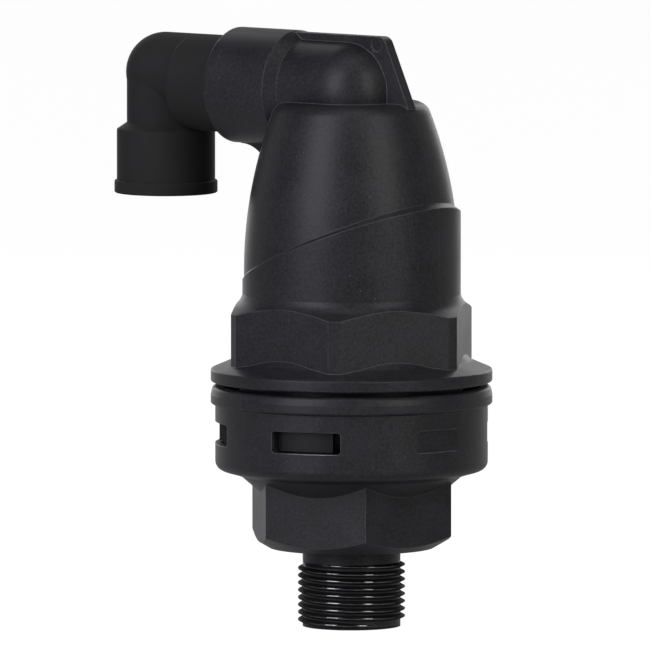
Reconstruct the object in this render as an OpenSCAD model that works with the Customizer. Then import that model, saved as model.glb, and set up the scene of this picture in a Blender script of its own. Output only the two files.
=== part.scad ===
// Automatic air release valve, 3/4 inch inlet, with a swivelling drain elbow.
// Origin: centre of the inlet nipple's lower face. +Z up, the outlet points to -X. Millimetres.

/* [Inlet base] */
// Outer diameter of the inlet thread
thread_d = 26.44; // [22:0.01:30]
// Length of the threaded nipple
nipple_l = 15; // [12:0.5:20]
// Bore of the inlet
inlet_bore_d = 19; // [14:0.5:20]
// Diameter of the plain neck above the thread
neck_d = 24.2; // [22:0.1:28]
// Length of the neck
neck_l = 4.5; // [3:0.5:8]
// Base hexagon, across the flats
base_hex_af = 46; // [42:0.5:50]
// Height of the base hexagon on its flats
base_hex_h = 14.2; // [12:0.1:18]
// Direction of one base hexagon corner, degrees
base_turn = -45; // [-60:0.5:60]
// Flat ring left under the base hexagon, outer diameter
base_land_d = 40.8; // [36:0.2:44]
// Slope of the hexagon chamfers, degrees
hex_chamfer = 30.5; // [20:0.5:40]
// How far inside the drum the bowl's slope ends
bowl_inset = 4; // [2:0.1:5]
// Height of the bowl's slope
bowl_h = 5.5; // [4:0.1:8]
// Corner radius between bowl and drum
bowl_corner = 4; // [2:0.1:5]
// Outer diameter of the drum
drum_d = 67.2; // [66:0.1:69]
// Wall of the drum
drum_wall = 1.7; // [1.4:0.1:2.2]
// Height of the drum below the rim
drum_h = 16.1; // [15:0.1:20]
// How far the rim stands out from the drum
rim_step = 1.1; // [0.5:0.1:2.5]
// Height of the rim
rim_h = 4.2; // [3:0.1:6]
// Inward lean of the rim's upper half
rim_lean = 0.45; // [0.2:0.05:0.8]
// Gap between the rim and the body's flange
rim_gap = 1.1; // [0.6:0.1:2]
// Floor of the cup above the bottom of the drum
cup_floor = 1.8; // [1.5:0.1:2.5]

/* [Bayonet] */
// Direction of the bare plate recess, degrees
plate_turn = -12.5; // [-30:0.5:30]
// Width of a front window, degrees
window_w = 31; // [28:0.5:32]
// Width of a rear window, degrees
rear_window_w = 41; // [36:0.5:44]
// Sideways shift of a rear window, degrees
rear_window_shift = 6; // [0:0.5:8]
// Height of a window
window_h = 5.4; // [4.5:0.1:6]
// Sill of the windows above the bottom of the drum
window_sill = 6.2; // [5.5:0.1:7]
// Corner radius of the windows
window_corner = 0.9; // [0.4:0.1:1.5]
// Depth of the plate recess
plate_depth = 0.6; // [0.3:0.1:0.8]
// Width of a lug, degrees
lug_w = 26.8; // [22:0.2:27]
// Gap between a lug and the drum's wall
lug_gap = 1.3; // [0.3:0.1:2]
// Turn that frees the lugs, degrees
release_turn = 30; // [28:0.5:30]
// Height of a ledge over a lug
ledge_h = 3.6; // [2.5:0.1:4]

/* [Body] */
// Outer diameter of the body's spigot
spigot_d = 55; // [54:0.1:56]
// Depth of the step that holds the seal ring
seal_step = 2.3; // [2:0.1:2.6]
// Height of the seal ring's step
seal_step_h = 3.2; // [2.8:0.1:3.6]
// Height of the flange
flange_h = 3; // [2:0.1:4]
// Height of the slope above the flange
slope_h = 2.2; // [1.5:0.1:3]
// How far the slope runs in from the flange's edge
slope_inset = 5.2; // [4:0.1:6.5]
// Body hexagon, across the flats
body_hex_af = 56; // [54.5:0.5:58]
// Body hexagon, across its cut corners
body_hex_corner = 62.8; // [60:0.2:64]
// Top of the body hexagon's flats above the flange
body_hex_h = 16.3; // [14:0.1:20]
// Diameter of the plain lower housing
housing_d = 53; // [52:0.1:54]
// Straight part of the housing above the hexagon
housing_h = 8.1; // [6:0.1:12]
// Radius of the ogive's curve
ogive_r = 110.6; // [95:0.5:140]
// Height of the ogive
ogive_h = 41.6; // [38:0.1:44]
// Radius of the ogive's shoulder
shoulder_r = 4; // [2:0.1:5]
// Diameter of the raised collar
collar_d = 53.8; // [53.4:0.1:55]
// Height of the collar's slanting edge on the axis, above the hexagon
collar_h = 14; // [10:0.1:20]
// Rise of the collar's edge towards +X, degrees
collar_slant = 21.6; // [10:0.1:28]
// Radius of the hollow at the housing's foot
foot_r = 4; // [2:0.1:4.5]
// Wall of the housing
housing_wall = 3.2; // [2.8:0.1:3.6]
// Thickness of the housing's ceiling
ceiling_t = 4.6; // [4:0.1:6]
// Rounding of the outer edges
edge_r = 0.5; // [0.2:0.1:0.8]

/* [Outlet] */
// Height of the outlet axis above the housing
outlet_h = 2.5; // [1:0.1:5]
// Outer diameter of the outlet tube and its dome
outlet_d = 24.4; // [23:0.1:25.5]
// Bore of the outlet
outlet_bore_d = 17; // [15:0.5:18]
// Outer diameter of the elbow socket
socket_d = 28.6; // [28:0.1:30]
// Bore of the elbow socket
socket_bore_d = 23.2; // [22.8:0.1:23.6]
// Place of the socket's cone from the axis
socket_cone_x = 14.1; // [12.5:0.1:16]
// Length of the socket's cone
socket_cone_l = 2.8; // [2:0.1:4]
// Length of the socket
socket_l = 18.4; // [17.5:0.1:22]
// Thickness of the fin and the gusset
fin_t = 3; // [2:0.1:4]
// Reach of the fin's top towards +X
fin_x = 11; // [8:0.1:13]
// Reach of the fin's foot towards +X
fin_foot_x = 18.8; // [14:0.1:19.2]
// Corner radius of the fin
fin_corner = 2.5; // [1:0.1:4]
// Diameter of the bare round stamp on the fin
stamp_d = 3.2; // [2:0.1:3.4]
// Depth of the stamp
stamp_depth = 0.4; // [0.2:0.1:0.8]
// Reach of the gusset below the socket
gusset_h = 9; // [6:0.1:12]

/* [Drain elbow] */
// Distance of the elbow's drop leg from the valve axis
leg_x = 58.1; // [56:0.1:62]
// Diameter of the elbow's collar at the socket
leg_collar_d = 24; // [23.6:0.1:26]
// Diameter of the elbow's bend and drop leg
leg_d = 19.8; // [19:0.1:21]
// Where the collar ends, from the valve axis
leg_collar_x = 50; // [47:0.1:52]
// Lower end of the elbow below the outlet axis
leg_drop = 27.9; // [26:0.1:34]
// Outer diameter of the lower socket
tail_d = 24.4; // [23:0.1:25]
// Height of the lower socket with its bead
tail_h = 15.8; // [14.5:0.1:17]
// Height of the cone above the lower socket
tail_cone_h = 1.7; // [1:0.1:2.5]
// Diameter of the bead round the lower end
bead_d = 25.6; // [25.2:0.1:27]
// Height of the bead
bead_h = 3.2; // [2:0.1:5]
// Bore of the elbow
leg_bore_d = 13.4; // [11:0.1:14.2]
// Core diameter of the drain thread
drain_d = 14.96; // [14.6:0.01:16]
// Depth of the drain thread
drain_l = 12; // [9:0.5:13]
// Length of the spigot in the socket
plug_l = 13.4; // [12.5:0.1:14.5]

/* [Float and lever] */
// Diameter of the float
float_d = 37.4; // [34:0.1:37.6]
// Height of the float
float_h = 50; // [44:0.5:52]
// Height of the float's sloping shoulder
float_shoulder = 8; // [4:0.1:12]
// Diameter of the float's flat top
float_top_d = 24; // [20:0.5:28]
// Lever pivot from the wall at the ceiling
pivot_inset = 3.7; // [3.2:0.1:4.6]
// Lever pivot below the ceiling
pivot_drop = 12.2; // [11.8:0.1:13]
// Droop of the lever when the float is down, degrees
droop = 20; // [14:0.5:21]
// Diameter of the pivot pin
pivot_d = 3; // [2.4:0.1:3.2]
// Diameter of the link pin
link_d = 2.5; // [2:0.1:2.8]
// Width of the lever
lever_w = 5.8; // [5.2:0.1:6.4]
// Height of the lever's arm
lever_t = 3; // [2.6:0.1:3.2]
// Thickness of the ears and of the fork's cheeks
ear_t = 2; // [1.6:0.1:2.4]
// Place of the nozzle along the lever, as a share of its length
nozzle_share = 0.614; // [0.56:0.002:0.64]
// Diameter of the air orifice
orifice_d = 1.8; // [1:0.1:2.4]

/* [Fits] */
// Running clearance between parts that turn or slide
slide_gap = 0.3; // [0.2:0.05:0.4]
// Clearance of a pin in its hole, on the radius
pin_gap = 0.1; // [0.05:0.01:0.15]
// Room round a seal ring
ring_gap = 0.15; // [0.1:0.01:0.2]

/* [Hidden] */
$fn = 72;
eps = 0.01;
hex = 6;
half_turn = 180;
// Bayonet places round the drum, one of them the bare plate
lug_places = 6;
// How far forms run into each other, and cutters past them
over = 1;
// Turns the seams of the revolved forms away from the plane of symmetry
seam_turn = 50;

// Levels of the base
z_hex = nipple_l + neck_l;
z_bowl = z_hex + base_hex_h;
z_drum = z_bowl + bowl_h;
z_rim = z_drum + drum_h;
z_rim_top = z_rim + rim_h;
z_floor = z_drum + cup_floor;
z_sill = z_drum + window_sill;
bay_drop = 0.3;
z_bay = z_sill - bay_drop;
z_window = z_sill + window_h;
ledge_drop = 0.2;
z_ledge = z_window - ledge_drop;
chamber_wall = 4.3;
chamber_d = base_hex_af - 2 * chamber_wall;
chamber_floor = 4.5;
z_chamber = z_hex + chamber_floor;
bowl_d = drum_d - 2 * bowl_inset;
rim_d = drum_d + 2 * rim_step;
rim_share = 0.5;
z_lean = z_rim + rim_share * rim_h;
drum_bore = drum_d - 2 * drum_wall;
seal_bore = spigot_d + 2 * slide_gap;
seal_step_d = spigot_d - 2 * seal_step;
nipple_chamfer = 0.8;

// Levels of the body
z_flange = z_rim_top + rim_gap;
flange_d = rim_d;
slope_d = flange_d - 2 * slope_inset;
z_slope = z_flange + flange_h;
z_body_hex = z_flange + body_hex_h + flange_h;
z_housing = z_body_hex + housing_h;
z_top = z_housing + ogive_h;
z_collar = z_body_hex + collar_h;
z_ceiling = z_top - ceiling_t;
z_spigot = z_floor + slide_gap;
z_outlet = z_top + outlet_h;
ogive_x = housing_d / 2 - ogive_r;
cavity_d = housing_d - 2 * housing_wall;
// Inner radius of the housing at level z
function cavity_at(z) = ogive_x + sqrt(pow(ogive_r - housing_wall, 2) - pow(z - z_housing, 2));
foot_fillet = 2;
foot_bite = 0.06;
dome_inset = 0.3;
dome_bore_inset = 0.2;
ogive_steps = 18;
shoulder_steps = 8;

// Bayonet: a stop stands just outside each window, and a lug rests against it when locked
lug_top = z_ledge - slide_gap;
lug_bottom = z_sill + slide_gap;
lug_d = drum_bore - 2 * lug_gap;
stop_w = 2.2;
stop_gap = 0.5;
stop_inset = 0.6;
stop_turn = -window_w / 2 - stop_gap / 2;
lug_turn = stop_turn + stop_gap;
ledge_end = lug_turn + release_turn - stop_gap;
ledge_bore = spigot_d + 2 * slide_gap;
place_pitch = 360 / lug_places;
function place_turn(i) = plate_turn + i * place_pitch;
function is_rear(i) = i > 1 && i < lug_places - 1;
function window_angle(i) = is_rear(i) ? rear_window_w : window_w;
function window_shift(i) = !is_rear(i) || i == lug_places / 2 ? 0 : i < lug_places / 2 ? 1 : -1;

// Outlet and elbow, measured along -X
socket_x = socket_cone_x + socket_cone_l;
socket_end = socket_x + socket_l;
socket_step = 3.4;
socket_floor = socket_x + socket_step;
fin_drop = 0.4;
fin_sink = 1.2;
stamp_x = fin_x - 2.2;
stamp_z = z_outlet + socket_d / 2 - 2.5;
gusset_sink = 5;
gusset_root = 4;
gusset_tip = 2;
plug_d = socket_bore_d - 2 * slide_gap;
plug_shoulder = socket_end + slide_gap;
plug_end = plug_shoulder - plug_l;
clip_set = 3.4;
clip_x = plug_shoulder - clip_set;
clip_w = 1.4;
clip_bite = 0.8;
clip_slit = 20;
seal_ring_set = 4.4;
seal_ring_x = plug_end + seal_ring_set;
small_ring = 1.7;
groove_w = small_ring + 4 * ring_gap;
z_bend = z_outlet + (leg_collar_d - leg_d) / 2;
z_tail = z_outlet - leg_drop;
collar_edge = 2;
leg_inset = 0.2;
mitre_d = leg_bore_d + leg_inset;

// Lever frame and linkage
frame_t = 3.4;
frame_gap = 1.2;
frame_d = 2 * (cavity_at(z_ceiling) - frame_gap);
pivot_x = cavity_at(z_ceiling) - pivot_inset;
z_frame = z_ceiling - frame_t;
z_pivot = z_ceiling - pivot_drop;
z_link = z_pivot - pivot_x * tan(droop);
float_travel = pivot_x * tan(droop);
slot_l = pivot_x / cos(droop) - pivot_x + slide_gap;
nozzle_arm = pivot_x * nozzle_share;
nozzle_x = pivot_x - nozzle_arm;
button_d = 4.8;
button_h = 2;
button_seat = 0.5;
knob = 1.2;
z_button = lever_t / 2 + button_h;
lip_gap = 0.2;
z_lip = z_pivot + z_button + lip_gap;
lip_h = 1.2;
lip_wall = 0.6;
bush_wall = 0.7;
bush_d = pivot_d + 2 * bush_wall;
hub_wall = 1;
hub_d = bush_d + 2 * hub_wall;
eye_wall = 1.5;
eye_d = link_d + 2 * eye_wall;
ear_y = lever_w / 2 + slide_gap;
ear_w = 6;
clip_t = 0.6;
clip_ring = 1.4;
clip_mouth = 0.7;
pin_end = 1;
pin_half = ear_y + ear_t + clip_t + pin_end;
screw_d = 2.6;
screw_turns = [0, 110, -110];
screw_cover = 1.6;
screw_bite = ceiling_t - screw_cover;
screw_tip_gap = 0.3;
screw_head_d = 5;
screw_head_h = 2;
frame_plug_gap = 0.5;
frame_plug_d = outlet_bore_d - 2 * frame_plug_gap;
frame_plug_h = 5.6;
screw_r = (frame_plug_d + frame_d) / 4;
frame_ring = 1.3;
frame_groove_z = 1.4;
frame_groove_w = frame_ring + 4 * ring_gap;
nozzle_groove_z = 1.2;
nozzle_cap = 1;
nozzle_d = 5;
nozzle_flange_d = 7;
nozzle_h = frame_t + nozzle_cap;

// Float, its rest and the strainer
rest_rise = 1;
z_rest = z_floor + rest_rise;
z_float = z_rest + slide_gap;
z_float_top = z_float + float_h;
float_edge = 1.6;
guide_gap = 0.5;
guide_t = 2;
guide_n = 6;
guide_sink = 0.6;
stem_d = 5;
stem_bite = 20;
stem_flange_d = 12;
stem_flange_h = 1.6;
fork_gap = 1.2;
strainer_t = 1.4;
strainer_rim_h = 3;
strainer_hole = 1.6;
strainer_pitch = 2.7;
rest_d = chamber_d - 2 * slide_gap;
rest_wall = 2.4;
rest_arm_h = 3;
rest_arms = 4;
rest_hub_d = 8;

nylon = [0.17, 0.17, 0.175];
elbow_grey = [0.14, 0.14, 0.14];
rubber = [0.07, 0.07, 0.07];
steel = [0.72, 0.73, 0.74];
white_plastic = [0.86, 0.86, 0.84];
foam = [0.9, 0.88, 0.82];

// A polygon whose corners may be rounded: each point is [x, y, radius], listed anticlockwise.
function xy(p) = [p[0], p[1]];
function unit(v) = v / norm(v);
function before(p, i) = unit(xy(p[(i + len(p) - 1) % len(p)]) - xy(p[i]));
function after(p, i) = unit(xy(p[(i + 1) % len(p)]) - xy(p[i]));
function half_angle(p, i) = acos(before(p, i) * after(p, i)) / 2;
function is_convex(p, i) = cross(-before(p, i), after(p, i)) > 0;
function cut_back(p, i) = p[i][2] / tan(half_angle(p, i));
function centre(p, i) = xy(p[i]) + unit(before(p, i) + after(p, i)) * p[i][2] / sin(half_angle(p, i));
function cut_corner(p, i) = p[i][2] == 0
    ? [xy(p[i])]
    : [xy(p[i]) + before(p, i) * cut_back(p, i), xy(p[i]) + after(p, i) * cut_back(p, i)];

module rounded(p) {
    difference() {
        union() {
            polygon([for (i = [0:len(p) - 1]) each cut_corner(p, i)]);
            for (i = [0:len(p) - 1])
                if (p[i][2] > 0 && is_convex(p, i))
                    translate(centre(p, i)) circle(p[i][2]);
        }
        for (i = [0:len(p) - 1])
            if (p[i][2] > 0 && !is_convex(p, i))
                translate(centre(p, i)) circle(p[i][2]);
    }
}

// A ring sector about Z, from one radius to another, centred on turn a
module sector(r1, r2, z1, z2, a, w) {
    rotate(a - w / 2)
        rotate_extrude(angle = w)
            translate([r1, z1])
                square([r2 - r1, z2 - z1]);
}

// A tube about Z
module tube(d1, d2, z1, z2) {
    translate([0, 0, z1])
        difference() {
            cylinder(d = d2, h = z2 - z1);
            translate([0, 0, -eps]) cylinder(d = d1, h = z2 - z1 + 2 * eps);
        }
}

// A seal ring about Z
module seal_ring(mean_d, section, z) {
    translate([0, 0, z])
        rotate_extrude()
            translate([mean_d / 2, 0])
                circle(d = section);
}

// Places its children along the outlet axis, with their +Z running out along -X
module along_outlet() {
    translate([0, 0, z_outlet]) rotate([0, -90, 0]) children();
}

// Places its children in the XZ plane, centred on it, with thickness t
module upright_plate(t) {
    rotate([90, 0, 0]) linear_extrude(t, center = true) children();
}

// Places its children on the lever's pivot with the lever's own X axis drooping
module on_lever() {
    translate([-pivot_x, 0, z_pivot]) rotate([0, droop, 0]) children();
}

// A pin along Y with its middle at x, z
module pin_y(x, z, d, half) {
    translate([x, 0, z]) rotate([90, 0, 0]) cylinder(d = d, h = 2 * half, center = true);
}

// Two flat retaining clips on a pin along Y, just outside the cheeks
module clip_pair(x, z, pin) {
    for (side = [0, 1])
        mirror([0, side, 0])
            translate([x, ear_y + ear_t + clip_t + pin_gap, z])
                rotate([90, 0, 0])
                    difference() {
                        cylinder(d = pin + 2 * clip_ring, h = clip_t);
                        translate([0, 0, -eps]) cylinder(d = pin + pin_gap, h = clip_t + 2 * eps);
                        translate([0, -pin * clip_mouth / 2, -eps])
                            cube([pin + clip_ring, pin * clip_mouth, clip_t + 2 * eps]);
                    }
}

// Rounded opening, cut along the radius in the direction a
module window_cut(a, w, z1, z2, r1) {
    half = drum_d / 2 * sin(w / 2);
    rotate(a)
        translate([r1, 0, 0])
            rotate([90, 0, 90])
                linear_extrude(drum_d)
                    rounded([[-half, z1, window_corner], [half, z1, window_corner],
                        [half, z2, window_corner], [-half, z2, window_corner]]);
}

module base_hexagon() {
    top = z_drum + cup_floor;
    corner = base_hex_af / sqrt(3);
    reach = corner - base_land_d / 2 + over;
    intersection() {
        rotate(base_turn)
            translate([0, 0, z_hex])
                cylinder(r = corner, h = top - z_hex, $fn = hex);
        rotate_extrude()
            polygon([[0, z_hex], [base_land_d / 2, z_hex],
                [base_land_d / 2 + reach, z_hex + reach * tan(hex_chamfer)],
                [base_land_d / 2 + reach, top], [0, top]]);
    }
}

module base_shell() {
    rotate_extrude()
        rounded([[0, 0, 0], [thread_d / 2 - nipple_chamfer, 0, 0], [thread_d / 2, nipple_chamfer, 0],
            [thread_d / 2, nipple_l, 0], [neck_d / 2, nipple_l + thread_d / 2 - neck_d / 2, 0],
            [neck_d / 2, z_hex + eps, 0], [base_land_d / 2 - over, z_hex + eps, 0],
            [base_hex_af / 2 - over, z_bowl - over, 0], [bowl_d / 2, z_drum, 0],
            [drum_d / 2, z_drum, bowl_corner], [drum_d / 2, z_rim - edge_r, 0],
            [rim_d / 2, z_rim, edge_r], [rim_d / 2, z_lean, 0],
            [rim_d / 2 - rim_lean, z_rim_top, 2 * edge_r], [0, z_rim_top, 0]]);
    base_hexagon();
}

module inlet_base() {
    color(nylon) {
        difference() {
            base_shell();
            translate([0, 0, -over]) cylinder(d = inlet_bore_d, h = z_chamber + 2 * over);
            translate([0, 0, z_chamber]) cylinder(d = chamber_d, h = z_sill);
            translate([0, 0, z_floor]) cylinder(d = seal_bore, h = z_sill);
            translate([0, 0, z_bay]) cylinder(d = drum_bore, h = z_bay);
            for (i = [1:lug_places - 1])
                window_cut(place_turn(i) + window_shift(i) * rear_window_shift, window_angle(i),
                    z_sill, z_window, spigot_d / 2);
            window_cut(place_turn(0), window_w, z_sill, z_window, drum_d / 2 - plate_depth);
        }
        for (i = [1:lug_places - 1]) {
            middle = (stop_turn - stop_w + ledge_end) / 2;
            width = ledge_end - stop_turn + stop_w;
            sector(ledge_bore / 2, drum_d / 2 - drum_wall / 2, z_ledge, z_ledge + ledge_h,
                place_turn(i) + middle, width);
            sector(ledge_bore / 2 + stop_inset, drum_d / 2 - drum_wall / 2, z_bay - over, z_ledge + over,
                place_turn(i) + stop_turn - stop_w / 2, stop_w);
        }
    }
}

module inlet_strainer() {
    rings = floor((chamber_d / 2 - rest_wall - strainer_hole) / strainer_pitch);
    disc_d = chamber_d - 2 * slide_gap;
    color(white_plastic) {
        tube(disc_d - 2 * rest_wall, disc_d, z_chamber, z_chamber + strainer_rim_h);
        difference() {
            translate([0, 0, z_chamber + strainer_rim_h - strainer_t])
                cylinder(d = disc_d, h = strainer_t);
            for (k = [1:rings - 1])
                for (j = [0:hex * k - 1])
                    rotate(j * 360 / (hex * k))
                        translate([k * strainer_pitch, 0, z_chamber])
                            cylinder(d = strainer_hole, h = strainer_rim_h + over, $fn = 16);
        }
    }
}

module float_rest() {
    z_foot = z_chamber + strainer_rim_h;
    color(white_plastic) {
        tube(rest_d - 2 * rest_wall, rest_d, z_foot, z_rest);
        tube(rest_hub_d - rest_wall, rest_hub_d, z_rest - rest_arm_h, z_rest);
        for (i = [0:rest_arms - 1])
            rotate(i * 360 / rest_arms)
                translate([rest_hub_d / 2 - rest_wall / 4, -rest_wall / 2, z_rest - rest_arm_h])
                    cube([rest_d / 2 - rest_hub_d / 2 - rest_wall / 2, rest_wall, rest_arm_h]);
    }
}

module body_hexagon() {
    corner = body_hex_af / sqrt(3);
    cut = body_hex_corner / sqrt(3);
    rise = tan(hex_chamfer);
    far = corner + over;
    near = collar_d / 2 - foot_bite;
    flat = body_hex_af / 2;
    foot = z_body_hex + (flat - near) * rise;
    intersection() {
        translate([0, 0, z_flange + over]) cylinder(r = corner, h = z_body_hex, $fn = hex);
        rotate(half_turn / hex)
            translate([0, 0, z_flange])
                cylinder(r = cut, h = z_body_hex, $fn = hex);
        rotate_extrude()
            rounded([[0, z_flange, 0], [far, z_flange, 0], [far, z_body_hex - (far - flat) * rise, 0],
                [near, foot, foot_r], [near, foot + foot_r, 0], [0, foot + foot_r, 0]]);
    }
}

// Points up the ogive's curve to level z2, offset inwards by inset
function ogive_curve(z2, inset) = [for (i = [0:ogive_steps])
    let (z = z_housing + (z2 - z_housing) * i / ogive_steps)
    [ogive_x + sqrt(pow(ogive_r - inset, 2) - pow(z - z_housing, 2)), z]];

// Ogive outline between two levels, offset inwards by inset
module ogive(z1, z2, inset) {
    polygon([[0, z1], [housing_d / 2 - inset, z1], each ogive_curve(z2, inset), [0, z2]]);
}

// Outer form of the housing with its rounded shoulder
module housing_outline() {
    middle_z = z_top - shoulder_r;
    middle_x = ogive_x + sqrt(pow(ogive_r - shoulder_r, 2) - pow(middle_z - z_housing, 2));
    start = atan2(middle_z - z_housing, middle_x - ogive_x);
    touch_z = middle_z + shoulder_r * sin(start);
    polygon([[0, z_body_hex - over], [housing_d / 2, z_body_hex - over], each ogive_curve(touch_z, 0),
        for (i = [1:shoulder_steps])
            let (a = start + (90 - start) * i / shoulder_steps)
            [middle_x + shoulder_r * cos(a), middle_z + shoulder_r * sin(a)],
        [0, z_top]]);
}

// Raised collar whose upper edge slants and falls away outwards
module collar() {
    rise = tan(collar_slant);
    tall = 2.5 * collar_d;
    intersection() {
        translate([0, 0, z_body_hex - over]) cylinder(d = collar_d, h = ogive_h + housing_h);
        multmatrix([[1, 0, 0, 0], [0, 1, 0, 0], [rise, 0, 1, z_collar], [0, 0, 0, 1]])
            translate([0, 0, collar_d / 2 - tall]) cylinder(r1 = tall, r2 = 0, h = tall);
    }
}

module flange_form() {
    inside = z_slope + slope_h + foot_fillet;
    rotate_extrude()
        rounded([[0, z_flange, 0], [flange_d / 2, z_flange, edge_r], [flange_d / 2, z_slope, edge_r],
            [slope_d / 2, z_slope + slope_h, foot_fillet],
            [slope_d / 2 - foot_fillet, inside, 0], [0, inside, 0]]);
}

module outlet_form() {
    along_outlet()
        rotate(seam_turn) rotate_extrude() {
            intersection() {
                circle(d = outlet_d);
                translate([0, -outlet_d / 2]) square([outlet_d, outlet_d]);
            }
            rounded([[0, 0, 0], [outlet_d / 2, 0, 0], [outlet_d / 2, socket_cone_x, 0],
                [socket_d / 2, socket_x, 0], [socket_d / 2, socket_end, edge_r], [0, socket_end, 0]]);
        }
    translate([0, 0, z_top - ceiling_t / 2])
        cylinder(d = outlet_d - 2 * dome_inset, h = outlet_h + ceiling_t / 2);
}

module fin() {
    top = z_outlet + socket_d / 2 - fin_drop;
    upright_plate(fin_t)
        rounded([[-socket_x, z_outlet, 0], [fin_foot_x, z_top - fin_sink, 0],
            [fin_x, top, fin_corner], [-socket_x, top, 0]]);
}

module gusset() {
    under = z_outlet - socket_d / 2;
    wall = housing_d / 2 - gusset_sink;
    reach = socket_end - gusset_tip;
    upright_plate(fin_t)
        difference() {
            polygon([[-reach, under], [-wall, under - gusset_h], [-wall + gusset_root, under - gusset_h],
                [-wall + gusset_root, under + 2 * over], [-reach, under + 2 * over]]);
            translate([-reach, under - gusset_h]) circle(gusset_h - 2 * eps);
        }
}

module body_outside() {
    flange_form();
    body_hexagon();
    rotate(seam_turn) rotate_extrude() housing_outline();
    collar();
    outlet_form();
    fin();
    gusset();
    rotate_extrude()
        polygon([[0, z_spigot], [seal_step_d / 2, z_spigot], [seal_step_d / 2, z_spigot + seal_step_h],
            [spigot_d / 2, z_spigot + seal_step_h], [spigot_d / 2, z_flange + over], [0, z_flange + over]]);
    for (i = [1:lug_places - 1])
        sector(seal_step_d / 2, lug_d / 2, lug_bottom, lug_top, place_turn(i) + lug_turn + lug_w / 2,
            lug_w);
}

module body_inside() {
    rotate_extrude() ogive(z_spigot - over, z_ceiling, housing_wall);
    along_outlet()
        rotate_extrude() {
            intersection() {
                circle(d = outlet_bore_d);
                translate([0, -outlet_bore_d / 2]) square(outlet_bore_d);
            }
            square([outlet_bore_d / 2, socket_floor + over]);
            translate([0, socket_floor]) square([socket_bore_d / 2, socket_l]);
            translate([0, clip_x - clip_w / 2 - pin_gap])
                square([socket_bore_d / 2 + clip_bite, clip_w + 2 * pin_gap]);
        }
    translate([0, 0, z_ceiling - over])
        cylinder(d = outlet_bore_d - 2 * dome_bore_inset, h = outlet_h + ceiling_t + over);
    for (a = screw_turns)
        rotate(a) translate([screw_r, 0, z_ceiling - over])
            cylinder(d = screw_d + 2 * pin_gap, h = screw_bite + screw_tip_gap + over);
    translate([stamp_x, -fin_t / 2 + stamp_depth, stamp_z])
        rotate([90, 0, 0])
            cylinder(d = stamp_d, h = fin_t);
}

module valve_body() {
    guide_r = float_d / 2 + guide_gap;
    color(nylon) {
        difference() {
            body_outside();
            body_inside();
        }
        for (i = [0:guide_n - 1])
            rotate((i + 0.5) * 360 / guide_n)
                translate([guide_r, -guide_t / 2, z_spigot + seal_step_h])
                    cube([cavity_d / 2 + guide_sink - guide_r, guide_t, z_float_top - z_spigot]);
    }
}

module body_o_ring() {
    section = (seal_bore - seal_step_d) / 2 - 2 * ring_gap;
    color(rubber) seal_ring((seal_bore + seal_step_d) / 2, section, z_spigot + seal_step_h / 2);
}

module lever_frame() {
    color(white_plastic)
        difference() {
            union() {
                translate([0, 0, z_frame]) cylinder(d = frame_d, h = frame_t);
                translate([0, 0, z_ceiling - eps]) cylinder(d = frame_plug_d, h = frame_plug_h + eps);
                for (side = [-1, 1])
                    translate([0, side * (ear_y + ear_t / 2), 0])
                        upright_plate(ear_t)
                            rounded([[-pivot_x - ear_w / 2, z_pivot - ear_w / 2, ear_w / 2 - eps],
                                [-pivot_x + ear_w / 2, z_pivot - ear_w / 2, ear_w / 2 - eps],
                                [-pivot_x + ear_w / 2, z_frame + eps, 0],
                                [-pivot_x - ear_w / 2, z_frame + eps, 0]]);
            }
            tube(frame_plug_d - 2 * frame_ring - 2 * ring_gap, frame_plug_d + over,
                z_ceiling + frame_groove_z, z_ceiling + frame_groove_z + frame_groove_w);
            translate([-nozzle_x, 0, z_frame - over])
                cylinder(d = nozzle_d + 2 * pin_gap, h = nozzle_h + pin_gap + over);
            translate([-nozzle_x, 0, z_frame]) cylinder(d = orifice_d, h = frame_t + frame_plug_h + over);
            pin_y(-pivot_x, z_pivot, pivot_d + 2 * pin_gap, pin_half);
            for (a = screw_turns)
                rotate(a) translate([screw_r, 0, z_frame - over])
                    cylinder(d = screw_d + 4 * pin_gap, h = frame_t + 2 * over);
        }
}

module frame_o_ring() {
    color(rubber)
        seal_ring(frame_plug_d - frame_ring, frame_ring, z_ceiling + frame_groove_z + frame_groove_w / 2);
}

module frame_screws() {
    color(steel)
        for (a = screw_turns)
            rotate(a)
                translate([screw_r, 0, z_frame])
                    difference() {
                        union() {
                            cylinder(d = screw_d, h = frame_t + screw_bite);
                            translate([0, 0, -screw_head_h])
                                cylinder(d1 = screw_head_d - over, d2 = screw_head_d, h = screw_head_h);
                        }
                        translate([0, 0, -screw_head_h - eps])
                            cylinder(d = screw_d, h = screw_head_h / 2, $fn = hex);
                    }
}

module orifice_nozzle() {
    color(steel)
        translate([-nozzle_x, 0, 0])
            difference() {
                union() {
                    translate([0, 0, z_frame]) cylinder(d = nozzle_d, h = nozzle_h);
                    translate([0, 0, z_lip + lip_h])
                        cylinder(d = nozzle_flange_d, h = z_frame - z_lip - lip_h);
                    translate([0, 0, z_lip])
                        cylinder(d1 = orifice_d + 2 * lip_wall, d2 = nozzle_d, h = lip_h + eps);
                }
                translate([0, 0, z_lip - over])
                    cylinder(d = orifice_d, h = nozzle_h + z_frame - z_lip + 2 * over);
                tube(nozzle_d - small_ring, nozzle_d + over, z_frame + nozzle_groove_z,
                    z_frame + nozzle_groove_z + groove_w);
            }
}

module nozzle_o_ring() {
    section = small_ring / 2;
    color(rubber)
        translate([-nozzle_x, 0, 0])
            seal_ring(nozzle_d - section, section, z_frame + nozzle_groove_z + groove_w / 2);
}

module pivot_pin() {
    color(steel) pin_y(-pivot_x, z_pivot, pivot_d, pin_half);
}

module pivot_pin_clips() {
    color(steel) clip_pair(-pivot_x, z_pivot, pivot_d);
}

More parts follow.
